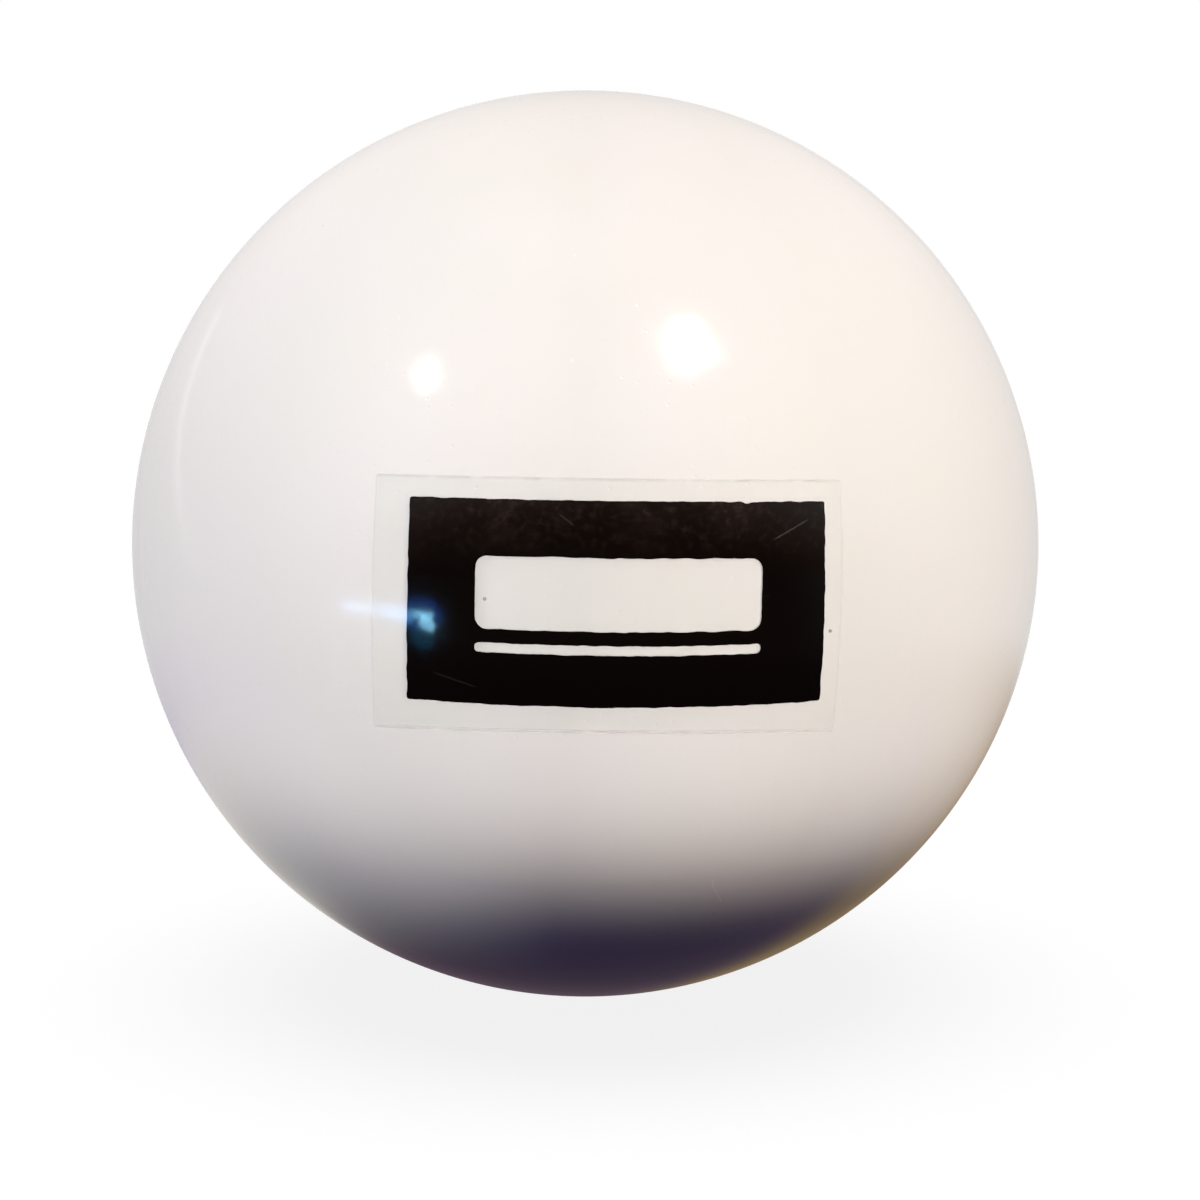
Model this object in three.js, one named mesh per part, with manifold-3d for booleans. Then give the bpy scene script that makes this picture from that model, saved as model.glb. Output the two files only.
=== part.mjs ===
// A smooth field hockey ball, as it would come apart on a bench: a cork and rubber core, the yarn
// wound round it, a white PVC cover in two cups that lock together at the equator, and a clear
// sticker with a black printed panel.
//
// Millimetres, +Z up. The origin is the ball's centre. The sticker faces -Y, +X is to its right,
// and the cover's joint lies in the XZ plane. Every round layer is turned about the Y axis.

import * as THREE from 'three';
import { mergeVertices } from 'three/addons/utils/BufferGeometryUtils.js';
import Module from 'manifold-3d';

// Cover
const ballDiameter = 73;
const coverWall = 5;

// Joint of the two cups: a tongue on the front cup's rim enters a groove in the back cup's rim
const tongueWidth = 1.8;
const tongueHeight = 1.6;
const tongueLeadIn = 0.3;
const tongueClearance = 0.1;

// The weld line that is left between the cups, a fine V
const weldLineWidth = 0.3;
const weldLineDepth = 0.12;

// Winding and core, from the cover inwards
const windingClearance = 0.3;
const windingThickness = 7;
const coreClearance = 0.3;

// The dimple at the back where the yarn's end is tucked in
const yarnEndHoleDiameter = 4;

// Sticker, in the sizes it was cut to before it was laid on the ball
const filmWidth = 34.8;
const filmHeight = 19.2;
const filmCornerRadius = 0.3;
const filmThickness = 0.1;
const filmClearance = 0.05;
const stickerRollDegrees = -0.5;

// Printed panel, by its margins to the film's edges
const panelMarginLeft = 2.8;
const panelMarginRight = 1.5;
const panelMarginTop = 1.6;
const panelMarginBottom = 2.7;
const panelCornerRadius = 0.6;
const inkThickness = 0.05;
const inkClearance = 0.05;

// The two bare bars left in the panel: a broad one to write a name on, and a thin line under it
const barSideMargin = 5;
const nameBarHeight = 5.2;
const nameBarCornerRadius = 0.8;
const underlineHeight = 0.7;
const underlineCornerRadius = 0.3;
const barSpacing = 1;

// No corner's radius is more than this share of its rectangle's shorter side
const mostCornerShare = 0.4;

// Fineness of the facets. The sticker shares the cover's steps, so its facets lie parallel to them.
const coverSegments = 64;
const innerSegments = 32;
const coverQuarterSteps = 16;
const innerQuarterSteps = 8;
const edgeSteps = 8;
const cornerSteps = 3;

// Sizes that follow from those above
const ballRadius = ballDiameter / 2;
const cavityRadius = ballRadius - coverWall;
const windingRadius = cavityRadius - windingClearance;
const windingBoreRadius = windingRadius - windingThickness;
const coreRadius = windingBoreRadius - coreClearance;
const tongueMiddle = ballRadius - coverWall / 2;
const filmInnerRadius = ballRadius + filmClearance;
const inkInnerRadius = filmInnerRadius + filmThickness + inkClearance;
const panelWidth = filmWidth - panelMarginLeft - panelMarginRight;
const panelHeight = filmHeight - panelMarginTop - panelMarginBottom;
const panelMiddleX = (panelMarginLeft - panelMarginRight) / 2;
const panelMiddleY = (panelMarginBottom - panelMarginTop) / 2;
const barWidth = panelWidth - 2 * barSideMargin;
const barsHeight = nameBarHeight + barSpacing + underlineHeight;
const quarterTurn = Math.PI / 2;

const wasm = await Module();
wasm.setup();

// A closed geometry as a solid that can be cut, and such a solid as a geometry again.

function solidOf(geometry) {
  const bare = geometry.clone();
  bare.deleteAttribute('normal');
  bare.deleteAttribute('uv');
  const merged = mergeVertices(bare);
  return new wasm.Manifold(new wasm.Mesh({
    numProp: 3,
    vertProperties: new Float32Array(merged.attributes.position.array),
    triVerts: new Uint32Array(merged.index.array),
  }));
}

function geometryOf(solid) {
  const mesh = solid.getMesh();
  const geometry = new THREE.BufferGeometry();
  geometry.setAttribute('position', new THREE.BufferAttribute(mesh.vertProperties, 3));
  geometry.setIndex(new THREE.BufferAttribute(mesh.triVerts, 1));
  geometry.computeVertexNormals();
  return geometry;
}

// Profiles are drawn as distance from the Y axis against height along it. Angles on an arc are
// measured from the front pole, at -Y, so a quarter turn reaches the joint and two the back pole.

function pointOnArc(radius, angle) {
  const fromAxis = Math.max(0, radius * Math.sin(angle));
  return new THREE.Vector2(fromAxis, -radius * Math.cos(angle));
}

function arc(radius, fromAngle, toAngle, steps) {
  const points = [];
  for (let i = 0; i <= steps; i += 1) {
    points.push(pointOnArc(radius, fromAngle + (toAngle - fromAngle) * i / steps));
  }
  return points;
}

function onAxis(points) {
  const closed = [...points];
  closed[0] = new THREE.Vector2(0, points[0].y);
  closed[points.length - 1] = new THREE.Vector2(0, points[points.length - 1].y);
  return closed;
}

function turned(profile, segments) {
  return new THREE.LatheGeometry(onAxis(profile), segments);
}

// Core: a moulded ball.

function coreGeometry() {
  return turned(arc(coreRadius, 0, 2 * quarterTurn, 2 * innerQuarterSteps), innerSegments);
}

// Winding: a thick shell round the core, open at the back where the yarn's end is tucked in.

function windingGeometry() {
  const holeRadius = yarnEndHoleDiameter / 2;
  const outerEnd = 2 * quarterTurn - Math.asin(holeRadius / windingRadius);
  const innerEnd = 2 * quarterTurn - Math.asin(holeRadius / windingBoreRadius);
  const steps = 2 * innerQuarterSteps;
  return turned([
    ...arc(windingRadius, 0, outerEnd, steps),
    ...arc(windingBoreRadius, innerEnd, 0, steps),
  ], innerSegments);
}

// The outer skin of a cup, from its pole to the floor of the weld line. The ring nearest the joint
// is the V's edge.

function cupSkin() {
  const halfLine = Math.asin(weldLineWidth / 2 / ballRadius);
  const step = quarterTurn / coverQuarterSteps;
  return [
    ...arc(ballRadius, 0, quarterTurn - step, coverQuarterSteps - 1),
    pointOnArc(ballRadius, quarterTurn - halfLine),
    new THREE.Vector2(ballRadius - weldLineDepth, 0),
  ];
}

function cupCavity() {
  return arc(cavityRadius, quarterTurn, 0, innerQuarterSteps);
}

// Front cup: its rim carries the tongue, with a lead-in on both edges.

function frontCupGeometry() {
  const outer = tongueMiddle + tongueWidth / 2;
  const inner = tongueMiddle - tongueWidth / 2;
  const shoulder = tongueHeight - tongueLeadIn;
  return turned([
    ...cupSkin(),
    new THREE.Vector2(outer, 0),
    new THREE.Vector2(outer, shoulder),
    new THREE.Vector2(outer - tongueLeadIn, tongueHeight),
    new THREE.Vector2(inner + tongueLeadIn, tongueHeight),
    new THREE.Vector2(inner, shoulder),
    new THREE.Vector2(inner, 0),
    ...cupCavity(),
  ], coverSegments);
}

// Back cup: drawn facing the front as well, with the groove sunk in its rim, then turned round.

function backCupGeometry() {
  const outer = tongueMiddle + tongueWidth / 2 + tongueClearance;
  const inner = tongueMiddle - tongueWidth / 2 - tongueClearance;
  const floor = -(tongueHeight + tongueClearance);
  return turned([
    ...cupSkin(),
    new THREE.Vector2(outer, 0),
    new THREE.Vector2(outer, floor),
    new THREE.Vector2(inner, floor),
    new THREE.Vector2(inner, 0),
    ...cupCavity(),
  ], coverSegments);
}

// Sticker outlines are drawn flat, as they were cut, from points close enough to bend with the ball.

function cornerRound(centreX, centreY, radius, fromAngle) {
  const points = [];
  for (let i = 0; i <= cornerSteps; i += 1) {
    const angle = fromAngle + quarterTurn * i / cornerSteps;
    const x = centreX + radius * Math.cos(angle);
    const y = centreY + radius * Math.sin(angle);
    points.push(new THREE.Vector2(x, y));
  }
  return points;
}

function straightEdge(start, end) {
  const points = [];
  for (let i = 1; i < edgeSteps; i += 1) {
    points.push(start.clone().lerp(end, i / edgeSteps));
  }
  return points;
}

function roundedRectangle(middleX, middleY, width, height, cornerRadius) {
  const radius = Math.min(cornerRadius, mostCornerShare * Math.min(width, height));
  const left = middleX - width / 2 + radius;
  const right = middleX + width / 2 - radius;
  const bottom = middleY - height / 2 + radius;
  const top = middleY + height / 2 - radius;
  const corners = [
    cornerRound(right, top, radius, 0),
    cornerRound(left, top, radius, quarterTurn),
    cornerRound(left, bottom, radius, 2 * quarterTurn),
    cornerRound(right, bottom, radius, 3 * quarterTurn),
  ];
  return corners.flatMap((corner, i) => {
    const nextCorner = corners[(i + 1) % corners.length];
    return [...corner, ...straightEdge(corner[cornerSteps], nextCorner[0])];
  });
}

// Laid on the ball, a point keeps its distance from the sticker's middle along the surface, so seen
// from the front the edges bow outwards a little.

function laidOnBall(outline) {
  const roll = THREE.MathUtils.degToRad(stickerRollDegrees);
  const middle = new THREE.Vector2();
  return outline.map((point) => {
    const along = point.length();
    const across = ballRadius * Math.sin(along / ballRadius);
    return point.clone().multiplyScalar(across / along).rotateAround(middle, roll);
  });
}

// A layer of the sticker: a thin dish that follows the cover's facets, trimmed to its outline.

function layerGeometry(innerRadius, thickness, outline, windows) {
  const edge = laidOnBall(outline);
  const shape = new THREE.Shape(edge);
  windows.forEach((window) => shape.holes.push(new THREE.Path(laidOnBall(window))));
  const cutter = new THREE.ExtrudeGeometry(shape, { depth: ballDiameter, bevelEnabled: false });
  cutter.rotateX(quarterTurn);

  const step = quarterTurn / coverQuarterSteps;
  const reach = Math.max(...edge.map((point) => point.length()));
  const steps = Math.ceil(Math.asin(reach / ballRadius) / step) + 1;
  const dish = turned([
    ...arc(innerRadius + thickness, 0, steps * step, steps),
    ...arc(innerRadius, steps * step, 0, steps),
  ], coverSegments);
  return geometryOf(solidOf(dish).intersect(solidOf(cutter)));
}

function filmGeometry() {
  const outline = roundedRectangle(0, 0, filmWidth, filmHeight, filmCornerRadius);
  return layerGeometry(filmInnerRadius, filmThickness, outline, []);
}

function inkGeometry() {
  const panel = roundedRectangle(
    panelMiddleX, panelMiddleY, panelWidth, panelHeight, panelCornerRadius);
  const barsTop = panelMiddleY + barsHeight / 2;
  const barsBottom = panelMiddleY - barsHeight / 2;
  const nameBar = roundedRectangle(
    panelMiddleX, barsTop - nameBarHeight / 2, barWidth, nameBarHeight, nameBarCornerRadius);
  const underline = roundedRectangle(
    panelMiddleX, barsBottom + underlineHeight / 2, barWidth, underlineHeight,
    underlineCornerRadius);
  return layerGeometry(inkInnerRadius, inkThickness, panel, [nameBar, underline]);
}

// Materials, in the photographed colours

const whiteVinyl = new THREE.MeshStandardMaterial({ color: '#f4eeea', roughness: 0.18, metalness: 0 });
const corkRubber = new THREE.MeshStandardMaterial({ color: '#6b4a33', roughness: 0.9, metalness: 0 });
const yarn = new THREE.MeshStandardMaterial({ color: '#d9cdb4', roughness: 0.95, metalness: 0 });
const clearFilm = new THREE.MeshStandardMaterial({ color: '#f1f0e4', roughness: 0.12, metalness: 0 });
const blackInk = new THREE.MeshStandardMaterial({ color: '#0d0b0a', roughness: 0.15, metalness: 0 });

function piece(name, geometry, material) {
  const mesh = new THREE.Mesh(geometry, material);
  mesh.name = name;
  return mesh;
}

const ball = new THREE.Group();

ball.add(piece('core', coreGeometry(), corkRubber));
ball.add(piece('yarn_winding', windingGeometry(), yarn));
ball.add(piece('cover_cup_front', frontCupGeometry(), whiteVinyl));

const backCup = piece('cover_cup_back', backCupGeometry(), whiteVinyl);
backCup.rotation.z = 2 * quarterTurn;
ball.add(backCup);

ball.add(piece('decal_film', filmGeometry(), clearFilm));
ball.add(piece('decal_print', inkGeometry(), blackInk));

export default ball;
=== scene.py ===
import math
import random

import bmesh
import bpy
import numpy as np
from mathutils import Matrix, Vector, geometry, noise


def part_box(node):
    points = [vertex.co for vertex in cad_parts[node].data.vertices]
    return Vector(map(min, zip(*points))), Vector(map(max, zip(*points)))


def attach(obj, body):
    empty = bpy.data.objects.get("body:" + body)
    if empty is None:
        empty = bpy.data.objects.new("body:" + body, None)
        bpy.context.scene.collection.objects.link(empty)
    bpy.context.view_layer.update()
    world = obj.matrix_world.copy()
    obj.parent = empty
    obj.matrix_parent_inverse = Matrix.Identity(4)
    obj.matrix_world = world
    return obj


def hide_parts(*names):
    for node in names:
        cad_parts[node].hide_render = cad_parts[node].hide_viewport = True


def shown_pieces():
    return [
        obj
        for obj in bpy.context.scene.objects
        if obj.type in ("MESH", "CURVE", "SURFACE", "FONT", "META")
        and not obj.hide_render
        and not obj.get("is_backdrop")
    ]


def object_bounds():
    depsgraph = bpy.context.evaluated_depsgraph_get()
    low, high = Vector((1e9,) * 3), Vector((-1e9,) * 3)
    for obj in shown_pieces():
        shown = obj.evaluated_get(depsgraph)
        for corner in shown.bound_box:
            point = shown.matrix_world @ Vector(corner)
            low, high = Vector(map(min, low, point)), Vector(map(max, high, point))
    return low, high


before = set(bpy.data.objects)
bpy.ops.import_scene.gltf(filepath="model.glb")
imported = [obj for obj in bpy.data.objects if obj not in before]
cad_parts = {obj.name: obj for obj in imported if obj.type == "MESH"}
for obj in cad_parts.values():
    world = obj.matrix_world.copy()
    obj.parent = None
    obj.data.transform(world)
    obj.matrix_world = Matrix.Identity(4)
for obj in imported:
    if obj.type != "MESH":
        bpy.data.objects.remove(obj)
cad_low, cad_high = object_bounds()

# The core: granules of cork bonded with dark rubber and pressed to a ball in a mould. It gives the
# hockey ball its bounce. The granules stand a little proud of the rubber between them.
mm = 0.001
quarter_turn = math.pi / 2
crease_angle = math.radians(40)
core_low, core_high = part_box("core")
core_radius = (core_high.z - core_low.z) / 2
core_cuts = 64
granule_size = 2.6 * mm
rubber_share = 0.24
rubber_sink = 0.16 * mm
pore_size = 0.35 * mm
pore_depth = 0.12 * mm
cork_pale = (0.47, 0.29, 0.16, 1)
cork_dark = (0.19, 0.10, 0.055, 1)
binder_black = (0.028, 0.024, 0.021, 1)


class Value:
    """A socket that reckons like a number: each step of a sum adds a Math node."""

    def __init__(self, nodes, socket):
        self.nodes = nodes
        self.socket = socket

    def reckon(self, operation, *numbers):
        return self.nodes.add("Math", {"operation": operation}, dict(enumerate(numbers)))

    def __add__(self, other):
        return self.reckon("ADD", self, other)

    def __radd__(self, other):
        return self.reckon("ADD", other, self)

    def __sub__(self, other):
        return self.reckon("SUBTRACT", self, other)

    def __rsub__(self, other):
        return self.reckon("SUBTRACT", other, self)

    def __mul__(self, other):
        return self.reckon("MULTIPLY", self, other)

    def __rmul__(self, other):
        return self.reckon("MULTIPLY", other, self)

    def __abs__(self):
        return self.reckon("ABSOLUTE", self)

    def larger(self, other):
        return self.reckon("MAXIMUM", self, other)

    def smaller(self, other):
        return self.reckon("MINIMUM", self, other)

    def output(self, name):
        """Another output of the same node."""
        return Value(self.nodes, self.nodes.socket(self.socket.node.outputs, name))

    def rise(self, low, high):
        """0 up to low, 1 from high on, and a smooth rise between."""
        sockets = {"Value": self, "From Min": low, "From Max": high, "To Min": 0, "To Max": 1}
        return self.nodes.add("MapRange", {"interpolation_type": "SMOOTHSTEP"}, sockets)


class Nodes:
    """The node tree of one material, or of the world."""

    def __init__(self, owner):
        owner.use_nodes = True
        self.tree = owner.node_tree
        self.tree.nodes.clear()

    def add(self, kind, settings, sockets, output=None):
        """Adds a node by its type, its settings, and the values or links of its sockets."""
        node = self.tree.nodes.new("ShaderNode" + kind)
        for name, setting in settings.items():
            setattr(node, name, setting)
        for key, value in sockets.items():
            socket = self.socket(node.inputs, key)
            if isinstance(value, Value):
                self.tree.links.new(value.socket, socket)
            else:
                socket.default_value = value
        return Value(self, self.socket(node.outputs, output)) if node.outputs else None

    def socket(self, sockets, key):
        """A node's socket by its number or name, or its first one in use."""
        if isinstance(key, int):
            return sockets[key]
        return next(s for s in sockets if s.enabled and key in (None, s.name))

    def mix(self, factor, first, second):
        return self.add("Mix", {"data_type": "RGBA"}, {"Factor": factor, "A": first, "B": second})

    def attribute(self, name):
        return self.add("Attribute", {"attribute_name": name}, {}, "Fac")

    def noise(self, place, size, detail=3.0, roughness=0.5):
        """Noise from 0 to 1 whose lumps are about size across."""
        sockets = {"Vector": place, "Scale": 1 / size, "Detail": detail, "Roughness": roughness}
        return self.add("TexNoise", {}, sockets, "Fac")

    def bump(self, height, depth):
        """The normal of a surface that height, from 0 to 1, lifts by up to depth."""
        return self.add("Bump", {}, {"Height": height, "Strength": 1.0, "Distance": depth})

    def surface(self, sockets):
        shader = self.add("BsdfPrincipled", {}, sockets)
        self.add("OutputMaterial", {}, {"Surface": shader})


def even_ball(cuts):
    """A net of quads spread evenly over a ball of radius 1: the bulged-out faces of a cube."""
    net = bmesh.new()
    bmesh.ops.create_cube(net, size=2)
    bmesh.ops.subdivide_edges(net, edges=net.edges[:], cuts=cuts - 1, use_grid_fill=True)
    for vert in net.verts:
        bulged = [math.tan(share * quarter_turn / 2) for share in vert.co]
        vert.co = Vector(bulged).normalized()
    return net


def solid(name, net, material):
    """The net as a smooth object that is creased where its faces meet at more than crease_angle."""
    mesh = bpy.data.meshes.new(name)
    net.to_mesh(mesh)
    net.free()
    mesh.shade_smooth()
    mesh.set_sharp_from_angle(angle=crease_angle)
    mesh.materials.append(material)
    made = bpy.data.objects.new(name, mesh)
    bpy.context.scene.collection.objects.link(made)
    return made


net = even_ball(core_cuts)
granule_tone = net.verts.layers.float.new("granule_tone")
rubber_between = net.verts.layers.float.new("rubber_between")
for vert in net.verts:
    distances, centres = noise.voronoi(vert.co * (core_radius / granule_size))
    seam = 1 - min(1, (distances[1] - distances[0]) / rubber_share)
    vert[granule_tone] = noise.cell(centres[0] * granule_size / mm)
    vert[rubber_between] = seam
    vert.co *= core_radius - rubber_sink * seam

cork_rubber = bpy.data.materials.new("cork_rubber")
nodes = Nodes(cork_rubber)
place = nodes.add("TexCoord", {}, {}, "Object")
tone = nodes.attribute("granule_tone")
seam = nodes.attribute("rubber_between")
pores = nodes.noise(place, pore_size, 4)
cork = nodes.mix(tone * 0.5 + pores * 0.6, cork_dark, cork_pale)
nodes.surface({
    "Base Color": nodes.mix(seam.rise(0.35, 0.75), cork, binder_black),
    "Roughness": 0.95 - seam * 0.25,
    "Normal": nodes.bump(pores, pore_depth),
})
core = solid("cork_core", net, cork_rubber)
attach(core, "root")
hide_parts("core")

# The winding: many metres of woollen yarn, wound tight round the core in great circles until the
# ball is right for its cover. The last turns lie on top. The yarn's end is tucked in at the back.
winding_low, winding_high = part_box("yarn_winding")
winding_radius = (winding_high.z - winding_low.z) / 2
core_clearance = 0.3 * mm
winding_bore_radius = core_radius + core_clearance
yarn_end_hole_radius = 2 * mm
yarn_width = 2.2 * mm
yarn_roundness = 0.75
yarn_pile = 0.5 * mm
fibre_size = 0.18 * mm
tuft_size = 1.1 * mm
fuzz_depth = 0.3 * mm
yarn_turns = 130
yarn_seed = 7
yarn_around = 288
yarn_steps = 144
bore_steps = 24
# The yarn's tones. The deeper one is also the colour of the painted shade in the furrows between turns.
yarn_pale = (0.70, 0.61, 0.46, 1)
yarn_deep_and_shade = (0.46, 0.38, 0.26, 1)


def arc(radius, start, end, steps):
    """Points (distance from the Y axis, place along it). Angles count from the front pole, at -Y."""
    angles = [start + (end - start) * i / steps for i in range(steps + 1)]
    return [(max(0.0, radius * math.sin(angle)), -radius * math.cos(angle)) for angle in angles]


def turned(profile, around):
    """A net that a profile sweeps in one turn round the Y axis. It begins and ends on the axis."""
    net = bmesh.new()
    rings = [[net.verts.new((0, profile[0][1], 0))]]
    for distance, along in profile[1:-1]:
        angles = [math.tau * i / around for i in range(around)]
        rings.append([
            net.verts.new((distance * math.cos(a), along, distance * math.sin(a))) for a in angles])
    rings.append([net.verts.new((0, profile[-1][1], 0))])
    for ring, following in zip(rings, rings[1:]):
        for i in range(around):
            j = (i + 1) % around
            corners = [ring[i % len(ring)], ring[j % len(ring)]]
            corners += [following[j % len(following)], following[i % len(following)]]
            net.faces.new(dict.fromkeys(corners))
    bmesh.ops.recalc_face_normals(net, faces=net.faces[:])
    return net


outer_end = math.pi - math.asin(yarn_end_hole_radius / winding_radius)
inner_end = math.pi - math.asin(yarn_end_hole_radius / winding_bore_radius)
net = turned(
    arc(winding_radius, 0, outer_end, yarn_steps)
    + arc(winding_bore_radius, inner_end, 0, bore_steps),
    yarn_around)

# Each turn of yarn is a round ridge along a great circle, and later turns lie a little higher.
turn_tone = net.verts.layers.float.new("turn_tone")
# How far each point lies from the middle of its turn towards the furrow, for the painted shade there.
furrow_shade = net.verts.layers.float.new("furrow_shade")
draw = random.Random(yarn_seed)
poles = [Vector(draw.gauss(0, 1) for _ in range(3)).normalized() for _ in range(yarn_turns)]
on_outside = [v for v in net.verts if v.co.length > (winding_radius + winding_bore_radius) / 2]
directions = np.array([v.co.normalized() for v in on_outside])
across = winding_radius * np.arcsin(np.clip(directions @ np.array(poles).T, -1, 1)) / (yarn_width / 2)
ridge = np.sqrt(np.clip(1 - across**2, 0, 1)) * yarn_roundness * yarn_width / 2
height = np.where(ridge > 0, ridge + yarn_pile * np.arange(yarn_turns) / yarn_turns, 0)
top_turn = height.argmax(axis=1)
highest = yarn_roundness * yarn_width / 2 + yarn_pile
for i, vert in enumerate(on_outside):
    turn = top_turn[i]
    vert[turn_tone] = noise.cell(poles[turn] * yarn_turns)
    vert[furrow_shade] = min(1, abs(across[i, turn]))
    vert.co = vert.co.normalized() * (winding_radius - highest + height[i, turn])

wool_yarn = bpy.data.materials.new("wool_yarn")
nodes = Nodes(wool_yarn)
place = nodes.add("TexCoord", {}, {}, "Object")
fibres = nodes.noise(place, fibre_size, 4, 0.65)
tufts = nodes.noise(place, tuft_size, 2)
depth = nodes.attribute("furrow_shade")
tone = nodes.attribute("turn_tone")
# The yarn is painted darker towards the furrows between turns: painted shade. Each turn also has its own
# tone.
nodes.surface({
    "Base Color": nodes.mix(
        depth * depth * 0.7 + fibres * 0.35 + tone * 0.2 - 0.15, yarn_pale, yarn_deep_and_shade),
    "Roughness": 0.95,
    "Sheen Weight": 0.3,
    "Normal": nodes.bump(fibres * 0.5 + tufts * 0.5, fuzz_depth),
})
winding = solid("yarn_turns", net, wool_yarn)
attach(winding, "root")
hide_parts("yarn_winding")

# The cover: two cups of white PVC, moulded with a tongue on the front cup's rim and a groove in the
# back cup's rim, pressed together over the winding and welded. The weld's flash is trimmed off and
# buffed, which leaves a fine line all round.
cup_low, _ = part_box("cover_cup_front")
ball_radius = -cup_low.y
cover_wall = 5 * mm
cavity_radius = ball_radius - cover_wall
tongue_middle = ball_radius - cover_wall / 2
tongue_width = 1.8 * mm
tongue_height = 1.6 * mm
tongue_lead_in = 0.3 * mm
tongue_clearance = 0.1 * mm
weld_line_width = 0.3 * mm
weld_line_depth = 0.12 * mm
cover_around = 288
cover_steps = 72
cavity_steps = 24
cloud_size = 16 * mm
mottle_size = 3.2 * mm
peel_size = 2.2 * mm
ripple_size = 0.7 * mm
dimple_spacing = 0.55 * mm
speck_spacing = 7 * mm
buff_line_size = 3 * mm
buff_line_stretch = 24
vinyl_relief = 0.02 * mm
vinyl_white = (0.915, 0.868, 0.829, 1)
vinyl_cream = (0.908, 0.868, 0.808, 1)
# The white that the pits are painted: a painted glint.
glint_white = (0.98, 0.98, 0.97, 1)
vinyl_grime = (0.42, 0.37, 0.32, 1)


def cup_skin():
    """The cup's outside, from the pole to the floor of the weld line."""
    half_line = math.asin(weld_line_width / 2 / ball_radius)
    skin = arc(ball_radius, 0, quarter_turn - half_line, cover_steps)
    return skin + [(ball_radius - weld_line_depth, 0)]


outer = tongue_middle + tongue_width / 2
inner = tongue_middle - tongue_width / 2
shoulder = tongue_height - tongue_lead_in
tongue = [
    (outer, 0),
    (outer, shoulder),
    (outer - tongue_lead_in, tongue_height),
    (inner + tongue_lead_in, tongue_height),
    (inner, shoulder),
    (inner, 0),
]
groove_floor = -tongue_height - tongue_clearance
groove = [
    (outer + tongue_clearance, 0),
    (outer + tongue_clearance, groove_floor),
    (inner - tongue_clearance, groove_floor),
    (inner - tongue_clearance, 0),
]
cavity = arc(cavity_radius, quarter_turn, 0, cavity_steps)
front_net = turned(cup_skin() + tongue + cavity, cover_around)
back_net = turned(cup_skin() + groove + cavity, cover_around)
bmesh.ops.rotate(back_net, verts=back_net.verts[:], matrix=Matrix.Rotation(math.pi, 3, "Z"))

# Small marks on the cover, each at a direction from the ball's middle: pits, dented in the surface
# and painted white as glints, and a scuff low at the front.
pits = [
    Vector((-0.402, -0.728, 0.555)),
    Vector((-0.056, -0.734, 0.677)),
    Vector((-0.067, -0.874, 0.481)),
    Vector((0.027, -0.893, 0.449)),
    Vector((0.062, -0.811, 0.582)),
    Vector((0.080, -0.842, 0.533)),
    Vector((0.115, -0.911, 0.396)),
    Vector((-0.350, -0.845, 0.404)),
]
pit_radius = 0.15 * mm
scuff_start = Vector((0.212, -0.799, -0.563))
scuff_end = Vector((0.243, -0.726, -0.644))
scuff_width = 0.14 * mm
scuff_bend = 0.5 * mm
scuff_bend_length = 1.2 * mm

white_vinyl = bpy.data.materials.new("white_vinyl")
nodes = Nodes(white_vinyl)
place = nodes.add("TexCoord", {}, {}, "Object")


def apart(nodes, place, point):
    """How far the shaded place lies from a point."""
    return nodes.add("VectorMath", {"operation": "DISTANCE"}, {0: place, 1: point}, "Value")


def hairline(nodes, place, start, end, width):
    """1 on a straight scratch from start to end that fades out to its sides and tips, else 0."""
    run = end - start
    from_start = nodes.add("VectorMath", {"operation": "SUBTRACT"}, {0: place, 1: start})
    along = nodes.add(
        "VectorMath", {"operation": "DOT_PRODUCT"}, {0: from_start, 1: run / run.length_squared}, "Value")
    share = along.larger(0).smaller(1)
    nearest = nodes.add("VectorMath", {"operation": "SCALE"}, {0: run, "Scale": share})
    away = apart(nodes, from_start, nearest)
    return (1 - away.rise(width * 0.2, width)) * (1 - abs(share * 2 - 1).rise(0.6, 1.0))


wobble = (nodes.noise(place, scuff_bend_length, 1) - 0.5) * scuff_bend
bend = nodes.add("CombineXYZ", {}, {"X": wobble, "Y": 0.0, "Z": 0.0})
bent = nodes.add("VectorMath", {"operation": "ADD"}, {0: place, 1: bend})
scuff = hairline(nodes, bent, scuff_start * ball_radius, scuff_end * ball_radius, scuff_width)
pits_and_painted_glints = sum(1 - apart(nodes, place, pit * ball_radius).rise(0, pit_radius) for pit in pits)
clouds = nodes.noise(place, cloud_size, 2)
mottle = nodes.noise(place, mottle_size, 3)
peel = nodes.noise(place, peel_size, 1)
ripple = nodes.noise(place, ripple_size, 2)
from_dimple = nodes.add("TexVoronoi", {}, {"Vector": place, "Scale": 1 / dimple_spacing}, "Distance")
dimple_pick = nodes.add("SeparateColor", {}, {"Color": from_dimple.output("Color")}, "Red")
dimples = (1 - from_dimple.rise(0.0, 0.32)) * dimple_pick.rise(0.75, 0.95)
from_weld = abs(nodes.add("SeparateXYZ", {}, {"Vector": place}, "Y"))
weld_dirt = 1 - from_weld.rise(0.04 * mm, 0.22 * mm)
buffed = 1 - from_weld.rise(0.5 * mm, 1.8 * mm)
drawn_out = nodes.add("VectorMath", {"operation": "MULTIPLY"}, {0: place, 1: (1, buff_line_stretch, 1)})
buff_lines = nodes.noise(drawn_out, buff_line_size, 3)
from_speck = nodes.add("TexVoronoi", {}, {"Vector": place, "Scale": 1 / speck_spacing}, "Distance")
speck_pick = nodes.add("SeparateColor", {}, {"Color": from_speck.output("Color")}, "Green")
specks = (1 - from_speck.rise(0.008, 0.02)) * speck_pick.rise(0.5, 0.7)
tint = nodes.mix((clouds * 0.7 + mottle * 0.3).rise(0.35, 0.75), vinyl_white, vinyl_cream)
dirt = weld_dirt * 0.35 + specks * 0.25 + buffed * buff_lines.rise(0.45, 0.8) * 0.05
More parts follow.
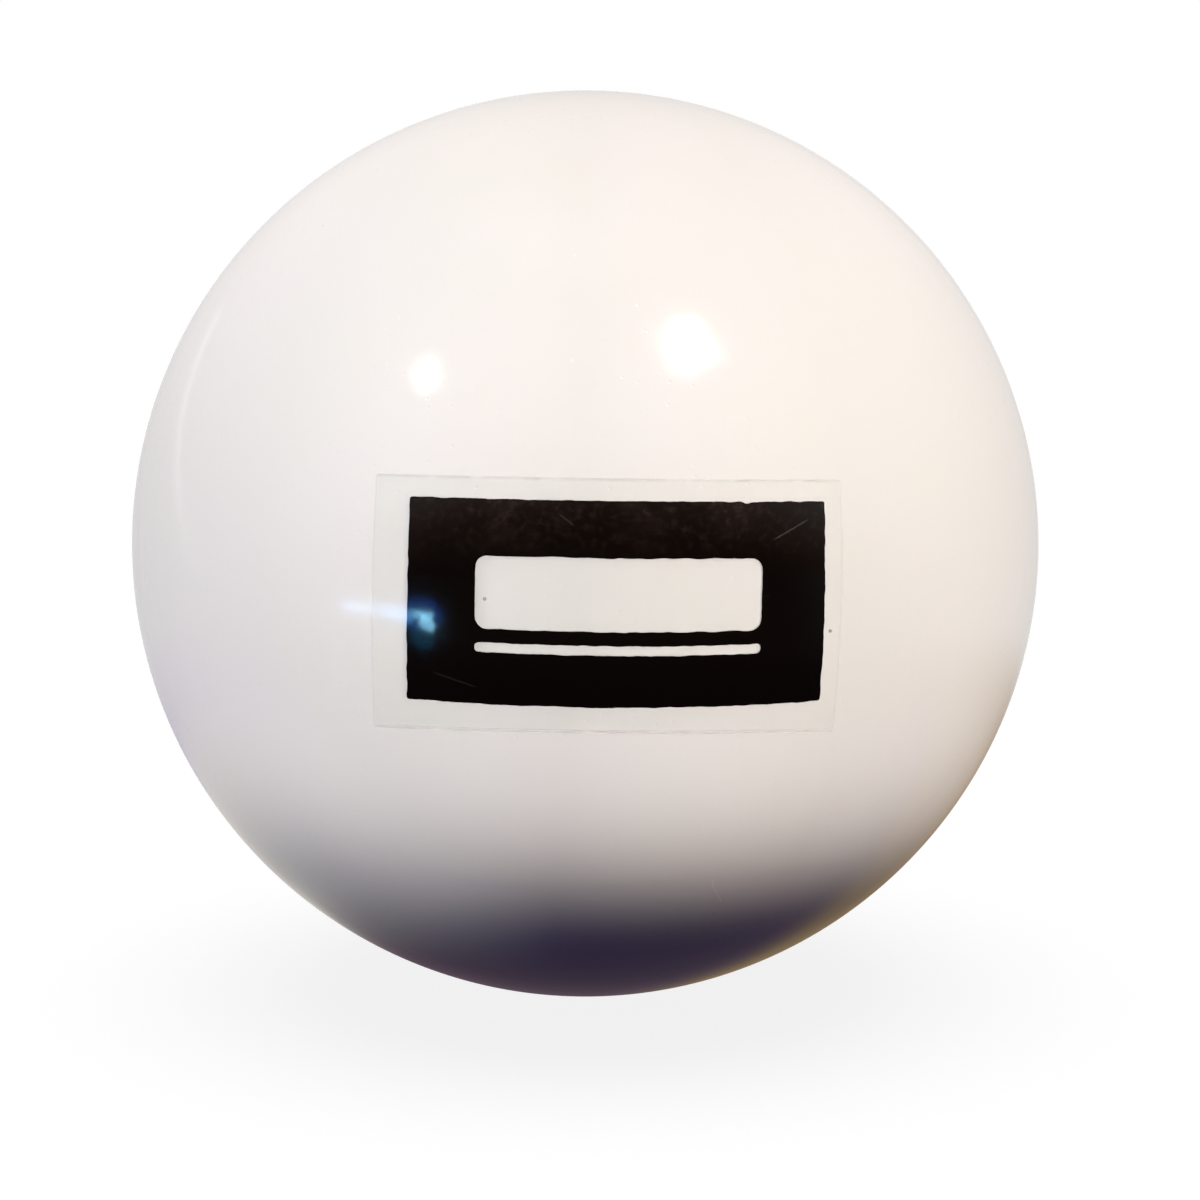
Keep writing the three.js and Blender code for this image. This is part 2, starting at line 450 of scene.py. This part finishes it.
# The pits are painted white as painted glints. The weld line, specks and buff lines are darker dirt.
nodes.surface({
    "Base Color": nodes.mix(dirt, nodes.mix(pits_and_painted_glints * 2, tint, glint_white), vinyl_grime),
    "Roughness": 0.09 + mottle * 0.06 + buffed * 0.12 + scuff * 0.3,
    "IOR": 1.53,
    "Normal": nodes.bump(
        peel * 0.35 + ripple * 0.12 - dimples * 0.8 - pits_and_painted_glints * 1.6 - scuff * 0.5
        + buffed * buff_lines * 0.12, vinyl_relief),
})
front_cup = solid("vinyl_cup_front", front_net, white_vinyl)
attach(front_cup, "root")
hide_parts("cover_cup_front")
back_cup = solid("vinyl_cup_back", back_net, white_vinyl)
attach(back_cup, "root")
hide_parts("cover_cup_back")

# The sticker's film: a clear sheet cut to a rectangle and rubbed down by hand on the front of the
# ball, where its lower edge has drawn in a little. It yellows the white a little. Its side and top
# edges carry a thin painted shade, and its lower edge a pale painted highlight.
film_width = 34.8 * mm
film_height = 19.2 * mm
film_corner = 0.3 * mm
film_thickness = 0.09 * mm
film_gap = 0.01 * mm
film_spacing = 0.45 * mm
sticker_roll = math.radians(-1.1)
film_hollow = 0.9 * mm
film_breakup_size = 1.5 * mm
film_haze_size = 5 * mm
film_wave_size = 2.4 * mm
film_relief = 0.02 * mm
# The film's tint, the colour of its dust and painted edge shade, the pale of its painted highlight.
film_tint = (0.80, 0.84, 0.77, 1)
film_dust_and_edge_shade = (0.52, 0.47, 0.41, 1)
painted_highlight_pale = (0.97, 0.93, 0.91, 1)


def rounded_rectangle(middle, width, height, corner, spacing):
    """The outline's points, no further apart than spacing, anticlockwise from the right-hand side."""
    points = []
    for turn, (side_x, side_y) in enumerate(((1, 1), (-1, 1), (-1, -1), (1, -1))):
        centre = middle + Vector((side_x * (width / 2 - corner), side_y * (height / 2 - corner)))
        steps = max(3, math.ceil(quarter_turn * corner / spacing))
        for i in range(steps + 1):
            angle = quarter_turn * (turn + i / steps)
            points.append(centre + corner * Vector((math.cos(angle), math.sin(angle))))
        side = (height if turn % 2 else width) - 2 * corner
        cuts = math.ceil(side / spacing)
        along = Vector((-side_y, 0)) if turn % 2 == 0 else Vector((0, side_x))
        points += [points[-1] + along * (side * i / cuts) for i in range(1, cuts)]
    return points


def laid_on_ball(point, radius):
    """A flat point of the sticker on the ball, at its own distance from the middle along the cover."""
    rolled = Matrix.Rotation(sticker_roll, 2) @ point
    angle = point.length / ball_radius
    across = rolled.normalized() * math.sin(angle)
    return Vector((across.x, -math.cos(angle), across.y)) * radius


def sticker_layer(outline, windows, inner_radius, thickness, spacing):
    """The net of a thin layer of the sticker, drawn flat, less its windows, and laid on the ball."""
    loops = [outline, *windows]
    points = [point for loop in loops for point in loop]
    ends = np.cumsum([len(loop) for loop in loops])
    borders = [list(range(end - len(loop), end)) for end, loop in zip(ends, loops)]
    edge_points = np.array(points)
    low, high = edge_points.min(axis=0), edge_points.max(axis=0)
    for x in np.arange(low[0] + spacing / 2, high[0], spacing):
        for y in np.arange(low[1] + spacing / 2, high[1], spacing):
            if np.hypot(*(edge_points - (x, y)).T).min() > spacing / 2:
                points.append(Vector((x, y)))
    within_borders = 1
    merge_distance = 1e-7
    flat, _, triangles, _, _, loops_round = geometry.delaunay_2d_cdt(
        points, [], borders, within_borders, merge_distance, True)
    net = bmesh.new()
    on_film = net.loops.layers.uv.new("on_film")
    tops = [net.verts.new(laid_on_ball(p, inner_radius + thickness)) for p in flat]
    undersides = [net.verts.new(laid_on_ball(p, inner_radius)) for p in flat]
    flat_place = dict(zip(tops + undersides, flat + flat))
    # A triangle within the outline alone is film or ink. One in a window has two loops round it.
    for corners, around in zip(triangles, loops_round):
        if len(around) == 1:
            net.faces.new([tops[i] for i in corners])
            net.faces.new([undersides[i] for i in reversed(corners)])
    # A wall joins the two sheets along every open edge.
    beneath = dict(zip(tops, undersides))
    for edge in [e for e in net.edges if e.is_boundary and e.verts[0] in beneath]:
        start, end = edge.verts
        net.faces.new([start, end, beneath[end], beneath[start]])
    bmesh.ops.delete(net, geom=[v for v in net.verts if not v.link_faces], context="VERTS")
    bmesh.ops.recalc_face_normals(net, faces=net.faces[:])
    for face in net.faces:
        for corner in face.loops:
            corner[on_film].uv = flat_place[corner.vert] / mm
    return net


def drawn_in(outline, middle, width, depth):
    """The outline with its lower side drawn in, by depth half-way along."""
    moved = []
    for point in outline:
        share = (point.x - middle.x) / (width / 2)
        lift = depth * (1 - share**2) if point.y < middle.y else 0
        moved.append(point + Vector((0, lift)))
    return moved


film_middle = Vector((0, 0))
film_outline = drawn_in(
    rounded_rectangle(film_middle, film_width, film_height, film_corner, film_spacing),
    film_middle, film_width, film_hollow)
net = sticker_layer(film_outline, [], ball_radius + film_gap, film_thickness, film_spacing)

# Two specks of dust and a small bubble under the film, by their places on the sheet in millimetres.
dust_places = [(16.5, -1.6, 0), (-8.9, 0.9, 0)]
dust_radius = 0.15
bubble_place = (9.9, 8.75, 0)
bubble_radius = 0.55

clear_film = bpy.data.materials.new("clear_film")
nodes = Nodes(clear_film)
on_film = nodes.add("UVMap", {"uv_map": "on_film"}, {})
place = nodes.add("TexCoord", {}, {}, "Object")
sheet_x = nodes.add("SeparateXYZ", {}, {"Vector": on_film}, "X")
sheet_y = sheet_x.output("Y")
to_side = film_width / 2 / mm - abs(sheet_x)
to_top = film_height / 2 / mm - sheet_y
across_film = sheet_x * (2 * mm / film_width)
to_bottom = sheet_y + film_height / 2 / mm - (1 - across_film * across_film) * (film_hollow / mm)
# The side and top edges are painted darker, as painted shade, in patches that noise breaks up.
edge_breakup = nodes.noise(place, film_breakup_size, 2).rise(0.2, 0.6)
painted_top_edge_shade = (1 - to_top.rise(0.05, 0.28)) * edge_breakup
painted_edge_shade = (1 - to_side.rise(0.02, 0.2)) * edge_breakup + painted_top_edge_shade
# The lower edge is painted pale: a painted highlight.
painted_edge_highlight = (1 - to_bottom.rise(0.05, 0.35)) * (edge_breakup * 0.4 + 0.6)
cut_wall = 1 - to_side.smaller(to_bottom).rise(0, 0.04)
dust = sum(1 - apart(nodes, on_film, at).rise(dust_radius * 0.4, dust_radius) for at in dust_places)
bubble = 1 - apart(nodes, on_film, bubble_place).rise(0, bubble_radius)
haze = nodes.noise(place, film_haze_size, 2)
waves = nodes.noise(place, film_wave_size, 1)
clearer = sheet_x.rise(0, film_width / 2 / mm) * 0.035
nodes.surface({
    "Base Color": nodes.mix(
        painted_edge_highlight, nodes.mix((painted_edge_shade * 0.5 + dust).smaller(1), film_tint, film_dust_and_edge_shade), painted_highlight_pale),
    "Alpha": (
        0.05 + haze * 0.03 - clearer + painted_edge_shade * 0.03 + painted_top_edge_shade * 0.05 + painted_edge_highlight * 0.2
        + dust * 0.7).smaller(1) * (1 - cut_wall * 0.8),
    "Roughness": 0.06 + haze * 0.07,
    "IOR": 1.49,
    "Normal": nodes.bump(waves * 0.4 + bubble, film_relief),
})
film = solid("sticker_film", net, clear_film)
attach(film, "root")
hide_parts("decal_film")

# The print: a panel of glossy black ink, screened on the film. Two bars are left bare in it, a broad
# one to write a name on and a thin one under it. The ink's edge is a little ragged, with a nick.
ink_margin_left = 2.8 * mm
ink_margin_right = 1.5 * mm
ink_margin_top = 1.6 * mm
ink_margin_bottom = 2.7 * mm
ink_hollow = 0.2 * mm
ink_corner = 0.15 * mm
ink_thickness = 0.03 * mm
ink_gap = 0.01 * mm
ink_spacing = 0.22 * mm
bar_side_margin = 5 * mm
name_bar_height = 5.2 * mm
name_bar_corner = 0.8 * mm
underline_height = 0.7 * mm
underline_corner = 0.3 * mm
bar_spacing = 1 * mm
edge_unevenness = 0.07 * mm
edge_lump = 0.9 * mm
nick_place = Vector((9.7, 8.0)) * mm
nick_reach = 0.42 * mm
nick_depth = 0.2 * mm
ink_smear_size = 4 * mm
ink_lint_size = 0.5 * mm
ink_wave_size = 1.8 * mm
ink_relief = 0.02 * mm
ink_black = (0.0030, 0.0015, 0.0010, 1)
# The lighter brown of the smears and of the painted reflection towards the top.
ink_smear_and_reflection = (0.052, 0.035, 0.028, 1)
ink_scratched = (0.30, 0.28, 0.25, 1)

panel_width = film_width - ink_margin_left - ink_margin_right
panel_height = film_height - ink_margin_top - ink_margin_bottom
panel_middle = Vector((ink_margin_left - ink_margin_right, ink_margin_bottom - ink_margin_top)) / 2
bar_width = panel_width - 2 * bar_side_margin
bars_height = name_bar_height + bar_spacing + underline_height
name_bar_middle = panel_middle + Vector((0, (bars_height - name_bar_height) / 2))
underline_middle = panel_middle - Vector((0, (bars_height - underline_height) / 2))


def ragged(outline):
    """The outline as ink leaves it: wavy by a fraction of a millimetre, and nicked in one place."""
    moved = []
    for i, point in enumerate(outline):
        run = outline[(i + 1) % len(outline)] - outline[i - 1]
        outward = Vector((run.y, -run.x)).normalized()
        wave = noise.noise(Vector((point.x, point.y, 0)) / edge_lump)
        ripple = noise.noise(Vector((point.x, point.y, edge_lump)) / edge_lump * 3)
        bite = max(0, 1 - (point - nick_place).length / nick_reach)
        shift = edge_unevenness * (wave + 0.4 * ripple) - nick_depth * bite
        moved.append(point + outward * shift)
    return moved


panel = ragged(drawn_in(
    rounded_rectangle(panel_middle, panel_width, panel_height, ink_corner, ink_spacing),
    panel_middle, panel_width, ink_hollow))
name_bar = ragged(rounded_rectangle(
    name_bar_middle, bar_width, name_bar_height, name_bar_corner, ink_spacing))
underline = ragged(rounded_rectangle(
    underline_middle, bar_width, underline_height, underline_corner, ink_spacing))
ink_radius = ball_radius + film_gap + film_thickness + ink_gap
net = sticker_layer(panel, [name_bar, underline], ink_radius, ink_thickness, 2 * ink_spacing)

# Scratches in the ink, from and to places on the sheet in millimetres, with their strengths.
ink_scratches = [
    (Vector((11.6, 5.2, 0)), Vector((14.7, 6.8, 0)), 0.13),
    (Vector((-2.6, 6.2, 0)), Vector((-3.8, 7.1, 0)), 0.06),
    (Vector((5.4, 1.5, 0)), Vector((11.8, 1.2, 0)), 0.03),
    (Vector((-12.9, -4.6, 0)), Vector((-9.2, -5.6, 0)), 0.03),
]
ink_scratch_width = 0.09

black_ink = bpy.data.materials.new("black_ink")
nodes = Nodes(black_ink)
on_film = nodes.add("UVMap", {"uv_map": "on_film"}, {})
place = nodes.add("TexCoord", {}, {}, "Object")
scratched = sum(
    hairline(nodes, on_film, start, end, ink_scratch_width) * strength
    for start, end, strength in ink_scratches)
smears = nodes.noise(place, ink_smear_size, 4, 0.6)
lint = nodes.noise(place, ink_lint_size, 2)
waves = nodes.noise(place, ink_wave_size, 1)
sheet_y = nodes.add("SeparateXYZ", {}, {"Vector": on_film}, "Y")
# Towards the top the ink is painted lighter, in smears: partly smears, partly painted reflection.
painted_top_reflection = sheet_y.rise(2.5, 9)
streaks = smears.rise(0.42, 0.85) * 0.4 + lint.rise(0.45, 0.9) * 0.35 + 0.06
ink_with_painted_reflection = nodes.mix(streaks * painted_top_reflection, ink_black, ink_smear_and_reflection)
nodes.surface({
    "Base Color": nodes.mix(scratched, ink_with_painted_reflection, ink_scratched),
    "Roughness": 0.05 + smears * 0.08 + scratched * 0.3,
    "IOR": 1.48,
    "Normal": nodes.bump(waves * 0.45 + lint * 0.05 - scratched * 0.3, ink_relief),
})
ink = solid("sticker_print", net, black_ink)
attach(ink, "root")
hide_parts("decal_print")

# The studio: a pale floor and a white surround. To the eye and in reflections they are white behind
# the ball and dim in front of it, as behind a photographer, so that the black ink stays black. They
# throw little light back up at the ball, whose underside goes dark.
floor_height = cad_low.z
floor_radius = 3.0
floor_to_eye = (0.20, 0.20, 0.20, 1)
glow_to_eye = (0.87, 0.87, 0.87, 1)
floor_to_ball = (0.003, 0.003, 0.02, 1)
glow_to_ball = (0.001, 0.001, 0.018, 1)
# What the gloss shows of the floor near the ball: dark in front, then painted shade and light.
front_in_gloss = (0.006, 0.003, 0.004, 1)
shade_in_gloss = (0.150, 0.105, 0.130, 1)
painted_warm_in_gloss = (0.35, 0.25, 0.13, 1)
painted_pale_in_gloss = (0.58, 0.545, 0.645, 1)
painted_pale_nearby = (0.78, 0.75, 0.68, 1)
shade_start = 90 * mm
shade_end = 160 * mm
surround_light = (0.92, 0.85, 1.0, 1)
surround_strength = 0.05
warm_wall = (1.0, 0.68, 0.60, 1)
plain_white = (1, 1, 1, 1)
no_light = (0, 0, 0, 1)
room_white = 0.7
room_dim = 0.03


def seen_how(nodes):
    """Two masks: what the camera sees itself, and what it sees in gloss or through something clear."""
    camera = nodes.add("LightPath", {}, {}, "Is Camera Ray")
    glossy = nodes.add("LightPath", {}, {}, "Is Glossy Ray")
    clear = nodes.add("LightPath", {}, {}, "Is Transmission Ray")
    return camera, glossy.larger(clear)


def room_light(nodes, outward):
    """What the gloss shows of the room: room_white behind the ball, room_dim in front and low down."""
    y = nodes.add("SeparateXYZ", {}, {"Vector": outward}, "Y")
    behind = (y + y.output("Z").larger(0) * 1.3).rise(-0.75, 0.15)
    return behind * (room_white - room_dim) + room_dim


world = bpy.data.worlds.new("white_surround")
bpy.context.scene.world = world
world.cycles.sampling_method = "NONE"
nodes = Nodes(world)
camera, mirrored = seen_how(nodes)
outward = nodes.add("TexCoord", {}, {}, "Generated")
room = room_light(nodes, outward)
seen = camera.larger(mirrored)
strength = camera.larger(mirrored * room).larger((1 - seen) * surround_strength)
seen_colour = nodes.mix(camera.larger(room.rise(0.1, 0.5)), warm_wall, plain_white)
colour = nodes.mix(seen, surround_light, seen_colour)
sky = nodes.add("Background", {}, {"Color": colour, "Strength": strength})
nodes.add("OutputWorld", {}, {"Surface": sky})

floor_paint = bpy.data.materials.new("pale_floor")
nodes = Nodes(floor_paint)
camera, mirrored = seen_how(nodes)
position = nodes.add("NewGeometry", {}, {}, "Position")
sideways = nodes.add("SeparateXYZ", {}, {"Vector": position}, "X")
rearward = sideways.output("Y")
distance = nodes.add("VectorMath", {"operation": "LENGTH"}, {0: position}, "Value")
outward = nodes.add("VectorMath", {"operation": "NORMALIZE"}, {0: position})

# In the gloss the floor near the ball glows with painted light and shade: dark in front, painted
# violet shade in the ball's shadow, painted warm light at right and painted pale light at left.
painted_warm_right = sideways.rise(0, 12 * mm) * rearward.rise(-13 * mm, -3 * mm)
painted_pale_left = sideways.rise(0, -20 * mm) * distance.rise(39 * mm, 47 * mm)
pale = nodes.mix(distance.rise(60 * mm, 100 * mm), painted_pale_nearby, painted_pale_in_gloss)
round_ball = nodes.mix(painted_pale_left, nodes.mix(painted_warm_right, shade_in_gloss, painted_warm_in_gloss), pale)
in_gloss = nodes.mix(rearward.rise(-45 * mm, -20 * mm), front_in_gloss, round_ball)
glow_colour = nodes.mix(camera, nodes.mix(mirrored, glow_to_ball, in_gloss), glow_to_eye)

# Near the ball the floor takes its shadow. Further off it is as white as the surround.
lit = nodes.add("BsdfDiffuse", {}, {"Color": nodes.mix(camera, floor_to_ball, floor_to_eye)})
glow = nodes.add("Emission", {}, {"Color": glow_colour, "Strength": 1.0})
near = nodes.add("AddShader", {}, {0: lit, 1: glow})
room = camera.larger(room_light(nodes, outward))
white = nodes.add("Emission", {}, {"Color": nodes.mix(room, no_light, plain_white), "Strength": 1.0})
far = camera.larger(mirrored) * distance.rise(shade_start, shade_end)
ground = nodes.add("MixShader", {}, {0: far, 1: near, 2: white})
clear = nodes.add("BsdfTransparent", {}, {})
from_below = nodes.add("NewGeometry", {}, {}, "Backfacing")
seen_floor = nodes.add("MixShader", {}, {0: from_below, 1: ground, 2: clear})
nodes.add("OutputMaterial", {}, {"Surface": seen_floor})
net = bmesh.new()
bmesh.ops.create_circle(net, cap_ends=True, radius=floor_radius, segments=64)
bmesh.ops.translate(net, verts=net.verts[:], vec=(0, 0, floor_height))
floor = solid("pale_floor", net, floor_paint)
floor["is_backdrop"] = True

# Lamps stand round the ball by azimuth, with 0 in front and 90 to the right, and elevation. A soft
# lamp gives even light and doesn't show in the gloss. A bright lamp shows there as a highlight.
ball_pieces = bpy.data.collections.new("ball_pieces")
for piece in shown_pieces():
    ball_pieces.objects.link(piece)
floor_pieces = bpy.data.collections.new("floor_pieces")
floor_pieces.objects.link(floor)


def towards(azimuth, elevation):
    """The direction from the ball's middle at this azimuth and elevation, in degrees."""
    azimuth, elevation = math.radians(azimuth), math.radians(elevation)
    level = math.cos(elevation)
    return Vector((math.sin(azimuth) * level, -math.cos(azimuth) * level, math.sin(elevation)))


def lamp(name, kind, place, aim, colour, power):
    """A lamp that is aimed at a point and that the camera doesn't see."""
    light = bpy.data.lights.new(name, kind)
    light.color = colour
    light.energy = power
    made = bpy.data.objects.new(name, light)
    made.location = place
    made.rotation_euler = (place - aim).to_track_quat("Z", "Y").to_euler()
    made.visible_camera = False
    bpy.context.scene.collection.objects.link(made)
    return made


# Soft lamps light the ball's top, rear and rim, and one more the floor. They show in no reflection.
soft_distance = 0.7
for name, azimuth, elevation, size, lit_pieces, colour, power in (
    ("top", 0, 90, 0.45, ball_pieces, (1.0, 0.99, 0.99), 2.5),
    ("back", 180, 15, 0.45, ball_pieces, (1.0, 1.0, 1.0), 0.8),
    ("back_top", 180, 45, 0.45, ball_pieces, (1.0, 0.87, 0.81), 2.3),
    ("back_left", -150, 15, 0.45, ball_pieces, (1.0, 1.0, 1.0), 0.6),
    ("back_right", 150, 15, 0.45, ball_pieces, (0.80, 0.80, 1.0), 0.5),
    ("over_floor", 0, 90, 1.0, floor_pieces, (1.0, 1.0, 1.0), 5.5),
):
    made = lamp(name, "AREA", towards(azimuth, elevation) * soft_distance, Vector(), colour, power)
    made.data.shape = "DISK"
    made.data.size = size
    made.visible_glossy = False
    made.light_linking.receiver_collection = lit_pieces

# The front lamps are shaded below, so that their light ends in a soft edge low on the ball.
front_distance = 0.7
front_cone = math.radians(80)
front_lamp_radius = 0.004
for name, azimuth, elevation, light_edge, softness, colour, power in (
    ("left", -91.0, 3.0, -28.2 * mm, 0.038, (0.99, 1.0, 0.98), 9.8),
    ("left_sky", -66, 4.0, -31.5 * mm, 0.032, (0.08, 0.10, 1.0), 1.0),
    ("front", 3.5, -1.8, -25.5 * mm, 0.053, (0.965, 0.99, 0.985), 10.95),
    ("front_right", 42, -0.5, -24.95 * mm, 0.021, (1.0, 0.835, 0.705), 5.7),
    ("right", 116, -1.8, -26.8 * mm, 0.030, (0.98, 0.97, 0.94), 7.1),
):
    place = towards(azimuth, elevation) * front_distance
    facing = towards(azimuth, 0)
    lowest_lit = facing * math.sqrt(ball_radius**2 - light_edge**2) + Vector((0, 0, light_edge))
    side = facing.cross(Vector((0, 0, 1)))
    aim = place + Matrix.Rotation(-front_cone / 2, 3, side) @ (lowest_lit - place)
    made = lamp(name, "SPOT", place, aim, colour, power)
    made.data.spot_size = front_cone
    made.data.spot_blend = softness
    made.data.shadow_soft_size = front_lamp_radius
    made.visible_glossy = False
    made.light_linking.receiver_collection = ball_pieces

# Two bright lamps overhead show as highlights on the cover. The larger one has a narrow pane across it.
bright_distance = 0.532
bright_colour = (1.0, 0.99, 0.96)
for name, azimuth, elevation, width, height, turn, brightness in (
    ("small_lamp", -53.1, 42.3, 0.050, 0.070, 54, 8.5),
    ("large_lamp", 35.1, 52.0, 0.108, 0.108, 13, 4.5),
    ("large_pane", 32.8, 52.5, 0.060, 0.136, -32, 4.5),
):
    place = towards(azimuth, elevation) * bright_distance
    power = brightness * math.pi * width * height
    made = lamp(name, "AREA", place, Vector(), bright_colour, power)
    made.rotation_euler.rotate_axis("Z", math.radians(turn))
    made.data.shape = "RECTANGLE"
    made.data.size = width
    made.data.size_y = height
    made.light_linking.receiver_collection = ball_pieces

# Small panes low at the left are seen in the gloss alone: a window's top and side, the sky and trees
# round it, and a pale sill beside it. A strip at the back gives a faint arc near the rim. Each pane
# runs from its start to its end.
for name, shape, start, end, height, colour, brightness in (
    ("window_top", "RECTANGLE", (-76.5, -97, -15.2), (-68.8, -102.5, -16.4), 3.4, (0.26, 0.68, 0.93), 19),
    ("window_side", "RECTANGLE", (-73.4, -99.2, -17.6), (-68.8, -102.4, -21.4), 4.4, (0.3, 0.72, 0.93), 18),
    ("sky", "ELLIPSE", (-86, -98, -16), (-70, -111, -17), 15, (0.01, 0.13, 1.0), 1.5),
    ("trees", "ELLIPSE", (-81, -99, -26), (-72, -106, -26), 13, (0.02, 0.46, 0.95), 0.8),
    ("sill", "RECTANGLE", (-95, -91.5, -16.5), (-83.5, -103, -19), 5.5, (0.15, 0.5, 1.0), 11),
    ("sill_end", "RECTANGLE", (-109, -74, -15.5), (-95, -91.5, -16.5), 4, (0.35, 0.6, 1.0), 8),
    ("arc", "RECTANGLE", (-148, 176, 78), (-239, 62, -30), 9, (1.0, 1.0, 1.0), 0.5),
):
    start = Vector(start) * mm
    run = Vector(end) * mm - start
    power = brightness * math.pi * run.length * height * mm
    made = lamp(name, "AREA", start + run / 2, Vector(), colour, power)
    along = run.normalized()
    outward = (made.location - along * made.location.dot(along)).normalized()
    made.rotation_euler = Matrix((along, outward.cross(along), outward)).transposed().to_euler()
    made.data.shape = shape
    made.data.size = run.length
    made.data.size_y = height * mm
    made.visible_diffuse = False

# The camera stands where the photographer stood and is aimed at the ball's middle. Its picture is
# shifted, so that the ball lies a little above and to the left of the middle.
camera_distance = 0.260
camera_azimuth = -2.80
camera_elevation = 7.94
camera_data = bpy.data.cameras.new("camera")
camera_data.sensor_width = 36
camera_data.lens = 95.9
camera_data.shift_x = 0.01228
camera_data.shift_y = -0.04717
camera_data.clip_start = 0.01
camera_data.clip_end = 10
camera_object = bpy.data.objects.new("camera", camera_data)
back = towards(camera_azimuth, camera_elevation)
camera_object.location = back * camera_distance
camera_object.rotation_mode = "QUATERNION"
camera_object.rotation_quaternion = (-back).to_track_quat("-Z", "Y")
bpy.context.scene.collection.objects.link(camera_object)
bpy.context.scene.camera = camera_object
bpy.context.scene.view_settings.view_transform = "Standard"
